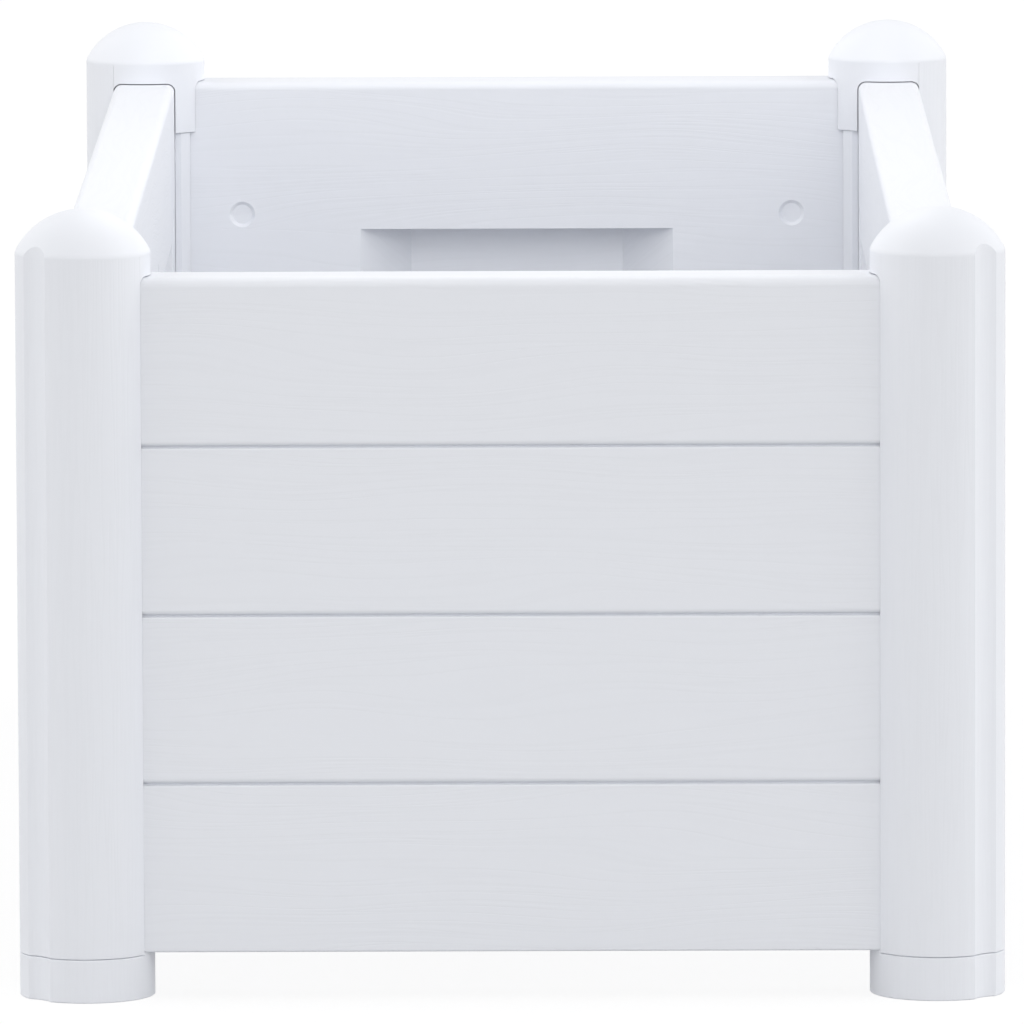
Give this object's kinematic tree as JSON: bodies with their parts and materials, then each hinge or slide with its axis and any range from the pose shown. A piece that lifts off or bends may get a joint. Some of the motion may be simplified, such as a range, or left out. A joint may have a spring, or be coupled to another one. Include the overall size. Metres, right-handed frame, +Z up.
{
  "type": "raised garden bed",
  "caption": "Long open-topped raised garden bed: plank-look double-wall panels slotted into round corner posts with domed push-on caps and plug-in feet.",
  "frame": {"origin": "on the ground, at the middle of the four feet", "axes": "+X across the short ends to the right, +Y along the long sides from the pictured end to the far end, +Z up"},
  "size_m": [0.43, 1, 0.3444],
  "materials": {
    "panel_plastic": "white polypropylene with an embossed lengthwise wood grain",
    "post_plastic": "white polypropylene with a fine upright grain",
    "cap_plastic": "smooth satin white polypropylene",
    "foot_plastic": "white polypropylene with a fine upright grain"
  },
  "bodies": {
    "bed": {"post_front_left": "post_plastic", "post_front_right": "post_plastic", "post_rear_right": "post_plastic", "post_rear_left": "post_plastic", "foot_front_left": "foot_plastic", "foot_front_right": "foot_plastic", "foot_rear_right": "foot_plastic", "foot_rear_left": "foot_plastic", "end_panel_front": "panel_plastic", "side_panel_right": "panel_plastic", "end_panel_rear": "panel_plastic", "side_panel_left": "panel_plastic"},
    "front_left_cap": {"cap_front_left": "cap_plastic"},
    "front_right_cap": {"cap_front_right": "cap_plastic"},
    "rear_right_cap": {"cap_rear_right": "cap_plastic"},
    "rear_left_cap": {"cap_rear_left": "cap_plastic"}
  },
  "joints": [
    {"name": "front_left_cap_lift", "type": "slide", "parent": "bed", "child": "front_left_cap", "axis": [0, 0, 1], "range_m": [0, 0.045]},
    {"name": "front_right_cap_lift", "type": "slide", "parent": "bed", "child": "front_right_cap", "axis": [0, 0, 1], "range_m": [0, 0.045]},
    {"name": "rear_right_cap_lift", "type": "slide", "parent": "bed", "child": "rear_right_cap", "axis": [0, 0, 1], "range_m": [0, 0.045]},
    {"name": "rear_left_cap_lift", "type": "slide", "parent": "bed", "child": "rear_left_cap", "axis": [0, 0, 1], "range_m": [0, 0.045]}
  ]
}
